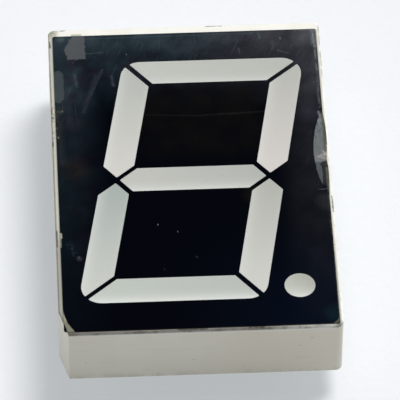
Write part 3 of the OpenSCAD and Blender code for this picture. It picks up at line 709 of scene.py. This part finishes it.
def green_laminate():
    """Green board with its copper tracks showing through the lacquer on the back, from pin to pin."""
    look = Look("green_laminate", roughness=0.4)
    p = look.in_mm()
    flat = look.flat(p)
    weave = look.noise(look.stretched(p, (1.0, 3.0, 1.0)), 1.5, 2.0)
    colour = look.blend(weave, linear(18, 92, 52), linear(30, 116, 66))
    row = (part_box("pin_10")[0].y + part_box("pin_10")[1].y) / 2 * TO_MM
    pitch = (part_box("pin_2")[0].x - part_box("pin_1")[0].x) * TO_MM
    copper = look.most(*(look.step(look.stroke_distance(flat, start, end), *TRACK_EDGE)
                         for start, end in copper_tracks(row, pitch)))
    back = look.step(look.axis(p, "Z"), board_low.z * TO_MM + 0.1, board_low.z * TO_MM)
    colour = look.paint(colour, look.product(copper, back), (58, 146, 84), 0.8)
    look.set("Base Color", colour)
    look.bump(weave, 0.1, 0.00005)
    return look


def metal(name, colour, roughness):
    """Dull metal, darker and rougher in patches."""
    look = Look(name, roughness=roughness, metallic=1.0)
    worn = look.noise(look.in_mm(), 2.5, 4.0, 0.6)
    bright = linear(*colour)
    look.set("Base Color", look.blend(worn, bright, tuple(0.7 * c for c in bright)))
    look.set("Roughness", look.math("MULTIPLY_ADD", worn, 0.3, roughness - 0.1))
    look.bump(worn, 0.2, 0.00005)
    return look


def lamp_body():
    """The pale plastic of the LED chips."""
    look = Look("lamp_body", roughness=0.4)
    patchy = look.noise(look.in_mm(), 4.0, 2.0)
    look.set("Base Color", look.blend(patchy, linear(238, 234, 214), linear(222, 214, 180)))
    return look


dress(["reflector_housing"], ivory_plastic())
for guide in BAR_LOOKS:
    dress([guide], milky_resin(guide))
dress(["circuit_board"], green_laminate())
dress([f"pin_{i}" for i in range(1, 11)], metal("tinned_wire", (212, 212, 212), 0.32))
dress(["solder_joints"], metal("solder", (188, 190, 194), 0.3))
dress([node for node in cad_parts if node.startswith("led_")], lamp_body())


# ---- the face film ----

def flat_outlines(node, z):
    """The closed outlines of a node's flat faces at one height, as lists of points in millimetres."""
    bm = bmesh.new()
    bm.from_mesh(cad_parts[node].data)
    bmesh.ops.remove_doubles(bm, verts=bm.verts, dist=1e-6)
    # a dict keeps the faces in their order, which a set doesn't, so each run gives the same mesh
    flat = dict.fromkeys(f for f in bm.faces if all(abs(v.co.z - z) < 1e-6 for v in f.verts))
    follows = {}
    for face in flat:
        for corner in face.loops:
            if not any(f in flat for f in corner.edge.link_faces if f is not face):
                follows[corner.vert] = corner.link_loop_next.vert
    outlines = []
    while follows:
        start, point = next(iter(follows.items()))
        del follows[start]
        loop = [start]
        while point is not start:
            loop.append(point)
            point = follows.pop(point)
        outlines.append([((v.co - film_mid).xy * TO_MM) for v in loop])
    bm.free()
    return outlines


def area(loop):
    """A loop's area, negative if it runs clockwise."""
    return sum(a.x * b.y - a.y * b.x for a, b in zip(loop, loop[1:] + loop[:1])) / 2


def rounded_rectangle(half_x, half_y, radius, steps=4):
    """An outline with round corners, as a list of points."""
    points = []
    for quarter in range(4):
        for i in range(steps + 1):
            turn = math.radians(90.0 * (quarter + i / steps))
            mid_x = (half_x - radius) * (1 if quarter in (0, 3) else -1)
            mid_y = (half_y - radius) * (1 if quarter in (0, 1) else -1)
            points.append(Vector((mid_x + radius * math.cos(turn), mid_y + radius * math.sin(turn))))
    return points


def divided(loop, longest):
    """The loop with points added so that no stretch is longer than longest."""
    points = []
    for a, b in zip(loop, loop[1:] + loop[:1]):
        count = max(1, math.ceil((b - a).length / longest))
        points += [a.lerp(b, i / count) for i in range(count)]
    return points


def inside(x, y, loop):
    """Which points (arrays x, y) lie inside a loop."""
    result = np.zeros(x.shape, bool)
    for a, b in zip(loop, loop[1:] + loop[:1]):
        if a.y != b.y:
            crosses = (a.y > y) != (b.y > y)
            result ^= crosses & (x < a.x + (y - a.y) * (b.x - a.x) / (b.y - a.y))
    return result


def bulge(value, low, high):
    """A smooth hump between low and high, 1 at its middle."""
    share = (value - low) / (high - low)
    return math.sin(math.pi * share) ** 0.7 if 0.0 < share < 1.0 else 0.0


def lift(x, y):
    """How far the film stands up near its right edge, in mm: two humps with a pinch between them."""
    past = LENS_R - math.hypot(x - LENS_X, y - LENS_Y)
    if past <= 0.0:
        return 0.0
    rise = 1.0 - (1.0 - min(1.0, past / RISE_IN)) ** 2
    hump = max(height * bulge(y, low, high) for height, low, high in HUMPS)
    depth, low, high = PINCH
    pinch = depth * bulge(y, low, high) * min(1.0, past / PINCH_IN)
    return max(0.0, LIFT_UP * rise * hump - pinch * LIFT_UP)


def film_point(x, y):
    """A point of the film, in mm, moved for the film's ripple, its lifted edge and its curled tip."""
    raised = lift(x, y)
    ripple = RIPPLE * noise.noise(Vector((x * RIPPLE_RATE[0], y * RIPPLE_RATE[1], 3.0)))
    past_tip = (x - TIP_AT[0]) * TIP_WAY[0] + (y - TIP_AT[1]) * TIP_WAY[1]
    curl = min(1.0, max(0.0, past_tip / TIP_LENGTH)) ** 2
    return x + LIFT_OUT * raised / LIFT_UP, y + TIP_PUSH * curl, raised + ripple - TIP_DROP * curl


def in_film(x, y, loops):
    """Which points (arrays x, y) lie inside the film's outline, the first loop, and in no window."""
    result = inside(x, y, loops[0])
    for window in loops[1:]:
        result &= ~inside(x, y, window)
    return result


def grid_points(loops):
    """The film's points between its outlines, closer together at its unstuck edge."""
    gx, gy = np.meshgrid(np.arange(-HALF_W + GRID / 2, HALF_W, GRID),
                         np.arange(-HALF_L + GRID / 2, HALF_L, GRID))
    fx, fy = np.meshgrid(np.arange(HALF_W - FINE_IN, HALF_W, FINE_GRID),
                         np.arange(FINE_LOW, FINE_HIGH, FINE_GRID))
    gx, gy = gx.ravel(), gy.ravel()
    coarse = ~((gx > HALF_W - FINE_IN) & (gy > FINE_LOW) & (gy < FINE_HIGH))
    gx, gy = np.concatenate([gx[coarse], fx.ravel()]), np.concatenate([gy[coarse], fy.ravel()])
    keep = in_film(gx, gy, loops)
    gx, gy = gx[keep], gy[keep]
    nearest = np.full(gx.shape, np.inf)
    for loop in loops:
        for point in loop:
            nearest = np.minimum(nearest, (gx - point.x) ** 2 + (gy - point.y) ** 2)
    clear = nearest > CLEAR ** 2
    return [Vector(p) for p in zip(gx[clear], gy[clear])]


def flat_film():
    """The film lying flat: its points in mm, and its faces as lists of their numbers."""
    # one window for each light guide; the film's own outline is the largest
    windows = sorted(flat_outlines("face_mask", z_face), key=lambda loop: abs(area(loop)))
    windows = windows[:len(BAR_LOOKS)]
    outline = rounded_rectangle(HALF_W, HALF_L, CORNER_R)
    loops = [divided(loop, OUTLINE_STEP) for loop in [outline] + windows]
    points, edges = [], []
    for loop in loops:
        first = len(points)
        points += loop
        edges += [(first + i, first + (i + 1) % len(loop)) for i in range(len(loop))]
    points += grid_points(loops)
    points, _, faces, *_ = delaunay_2d_cdt(points, edges, [], 0, 1e-6)
    mid = np.array([sum((points[i] for i in f), Vector((0.0, 0.0))) / len(f) for f in faces])
    keep = in_film(mid[:, 0], mid[:, 1], loops)
    return points, [face for face, kept in zip(faces, keep) if kept]


def face_film():
    """The black film as a sheet with its windows, rippled, lifted and creased where it is worn."""
    points, faces = flat_film()
    bm = bmesh.new()
    top, low = [], []
    for point in points:
        x, y, up = film_point(point.x, point.y)
        at = Vector((x * MM + film_mid.x, y * MM + film_mid.y, z_film + up * MM))
        top.append(bm.verts.new(at))
        low.append(bm.verts.new(at - Vector((0.0, 0.0, film_t - FILM_GAP))))
    sides = {}
    for face in faces:
        bm.faces.new([top[i] for i in face])
        bm.faces.new([low[i] for i in reversed(face)])
        sides.update(dict.fromkeys(zip(face, face[1:] + face[:1])))
    for a, b in sides:
        if (b, a) not in sides:
            bm.faces.new([top[b], top[a], low[a], low[b]])
    bmesh.ops.delete(bm, geom=[v for v in bm.verts if not v.link_faces], context="VERTS")
    for face in bm.faces:
        face.smooth = True
    for edge in bm.edges:
        edge.smooth = edge.calc_face_angle(0.0) < CREASE_ANGLE
    mesh = bpy.data.meshes.new("face_film")
    bm.to_mesh(mesh)
    bm.free()
    piece = bpy.data.objects.new("face_film", mesh)
    bpy.context.scene.collection.objects.link(piece)
    mesh.materials.append(black_film().material)
    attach(piece, "root")
    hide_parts("face_mask")


face_film()


# ---- floor, light and camera ----

def paper_floor():
    """A plain pale floor. Seen directly or in a gloss it also glows a little, so that it looks pale
    without sending more light to the display."""
    mesh = bpy.data.meshes.new("paper_floor")
    half = 7.0
    mesh.from_pydata([(-half, -half, 0.0), (half, -half, 0.0), (half, half, 0.0), (-half, half, 0.0)],
                     [], [(0, 1, 2, 3)])
    piece = bpy.data.objects.new("paper_floor", mesh)
    bpy.context.scene.collection.objects.link(piece)
    look = Look("paper", roughness=0.8)
    p = look.in_mm()
    grain = look.noise(p, 0.8, 4.0, 0.6)
    path = look.add("ShaderNodeLightPath").outputs
    seen = look.most(path["Is Camera Ray"], path["Is Glossy Ray"], path["Is Transmission Ray"])
    paper = look.blend(grain, linear(178, 180, 184), linear(184, 186, 190))
    look.set("Base Color", look.blend(seen, linear(206, 207, 208), paper))
    look.set("Emission Color", look.blend(seen, (0.0, 0.0, 0.0), (0.42, 0.435, 0.45)))
    look.set("Emission Strength", 1.0)
    look.bump(look.math("ADD", grain, look.noise(p, 0.05, 2.0)), 0.15, 0.0004)
    mesh.materials.append(look.material)


def room_light():
    """A pale band round the horizon under a dark ceiling, dimmer on the viewer's side."""
    world = bpy.data.worlds.new("room")
    bpy.context.scene.world = world
    world.use_nodes = True
    tree = world.node_tree

    def add(kind, **settings):
        node = tree.nodes.new(kind)
        for name, value in settings.items():
            setattr(node, name, value)
        return node

    def fade(axis, *limits):
        node = add("ShaderNodeMapRange", interpolation_type="SMOOTHSTEP")
        tree.links.new(split.outputs[axis], node.inputs["Value"])
        for name, value in zip(("From Min", "From Max", "To Min", "To Max"), limits):
            node.inputs[name].default_value = value
        return node.outputs[0]

    split = add("ShaderNodeSeparateXYZ")
    tree.links.new(add("ShaderNodeTexCoord").outputs["Generated"], split.inputs[0])
    ramp = add("ShaderNodeValToRGB")
    tree.links.new(split.outputs["Z"], ramp.inputs[0])
    band, ceiling = ramp.color_ramp.elements
    band.position, band.color = 0.3, (0.88, 0.89, 0.9, 1.0)
    ceiling.position, ceiling.color = 0.66, (0.008, 0.01, 0.014, 1.0)
    level = add("ShaderNodeMath", operation="MAXIMUM")
    tree.links.new(fade("Y", -0.5, 0.4, 0.5, 1.05), level.inputs[0])
    tree.links.new(fade("Z", 0.04, 0.12, 1.0, 0.0), level.inputs[1])
    background = tree.nodes["Background"]
    tree.links.new(ramp.outputs[0], background.inputs["Color"])
    tree.links.new(level.outputs[0], background.inputs["Strength"])


def soft_lamp():
    """One broad, distant light from the upper right."""
    light = bpy.data.lights.new("window", "SUN")
    light.angle = math.radians(28.0)
    light.energy = 2.95
    light.color = (1.0, 0.985, 0.96)
    lamp = bpy.data.objects.new("window", light)
    lamp.location = (0.3, 0.35, 0.78)
    lamp.rotation_mode = "QUATERNION"
    lamp.rotation_quaternion = Vector(lamp.location).to_track_quat("Z", "Y")
    bpy.context.scene.collection.objects.link(lamp)


def camera():
    """A long lens, aimed so that the film's corners fall where they do for a viewer at the low side."""
    height, turn, roll = (math.radians(angle) for angle in (48.93, -3.07, 0.47))
    distance, aim_right, aim_down = 0.877, 0.0012, 0.00407
    data = bpy.data.cameras.new("camera")
    data.sensor_width, data.lens = 36.0, 459.0
    data.clip_start, data.clip_end = 0.01, 20.0
    cam = bpy.data.objects.new("camera", data)
    bpy.context.scene.collection.objects.link(cam)
    bpy.context.scene.camera = cam
    back = Vector((math.sin(turn) * math.cos(height), -math.cos(turn) * math.cos(height),
                   math.sin(height)))
    turned = Matrix.Rotation(roll, 3, back) @ back.to_track_quat("Z", "Y").to_matrix()
    right, up = turned.col[0], turned.col[1]
    cam.rotation_mode = "QUATERNION"
    cam.rotation_quaternion = turned.to_quaternion()
    cam.location = (Vector((film_mid.x, film_mid.y, z_film))
                    + distance * back + aim_right * right - aim_down * up)


paper_floor()
room_light()
soft_lamp()
camera()
bpy.context.scene.view_settings.view_transform = "Standard"
